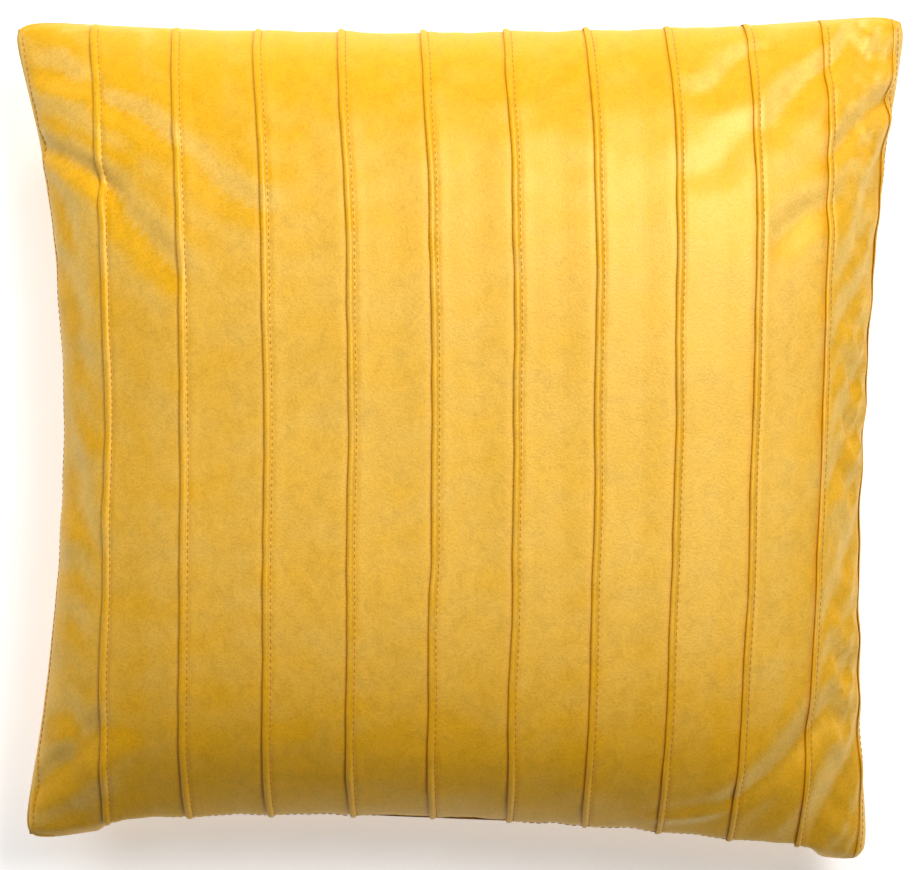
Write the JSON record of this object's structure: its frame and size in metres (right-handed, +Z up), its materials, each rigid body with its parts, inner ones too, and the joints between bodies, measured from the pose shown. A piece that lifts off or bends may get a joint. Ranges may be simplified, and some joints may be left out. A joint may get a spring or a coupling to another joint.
{
  "type": "throw pillow",
  "caption": "Square velvet throw pillow with pin tucks down the front, a zipped removable cover and a fibre-filled inner pad.",
  "frame": {"origin": "on the resting surface, under the middle of the pillow", "axes": "the pillow lies on its back: +Z up out of the tucked front, +Y towards the top edge, +X across the tucks; the zip is in the -Y seam"},
  "size_m": [0.447, 0.4225, 0.1189],
  "materials": {
    "velvet": "short-pile velvet",
    "thread": "spun sewing thread",
    "zip_tape": "woven tape",
    "zip_coil": "nylon coil",
    "zip_metal": "satin nickel",
    "pad_cloth": "non-woven cloth",
    "fibre": "loose polyester fibre"
  },
  "bodies": {
    "pillow": {"cover_front": "velvet", "cover_back": "velvet", "tuck_stitching_01": "thread", "tuck_stitching_02": "thread", "tuck_stitching_03": "thread", "tuck_stitching_04": "thread", "tuck_stitching_05": "thread", "tuck_stitching_06": "thread", "tuck_stitching_07": "thread", "tuck_stitching_08": "thread", "tuck_stitching_09": "thread", "tuck_stitching_10": "thread", "tuck_stitching_11": "thread", "tuck_stitching_12": "thread", "cover_seam_stitching": "thread", "zip_stitching_front": "thread", "zip_stitching_back": "thread", "zip_tape_front": "zip_tape", "zip_tape_back": "zip_tape", "zip_coil_front": "zip_coil", "zip_coil_back": "zip_coil", "zip_top_stop_front": "zip_metal", "zip_top_stop_back": "zip_metal", "zip_bottom_stop": "zip_metal", "pad_case_front": "pad_cloth", "pad_case_back": "pad_cloth", "pad_seam_stitching": "pad_cloth", "fibre_fill": "fibre"},
    "slider": {"zip_slider": "zip_metal"},
    "pull": {"zip_pull": "zip_metal"}
  },
  "joints": [
    {"name": "zip_slide", "type": "slide", "parent": "pillow", "child": "slider", "axis": [0.9992, -0.04, 0], "range_m": [-0.29, 0]},
    {"name": "pull_swing", "type": "hinge", "parent": "slider", "child": "pull", "pos_m": [0.14527, -0.19577, 0.05], "axis": [0, 0, 1], "range_deg": [0, 178]}
  ]
}
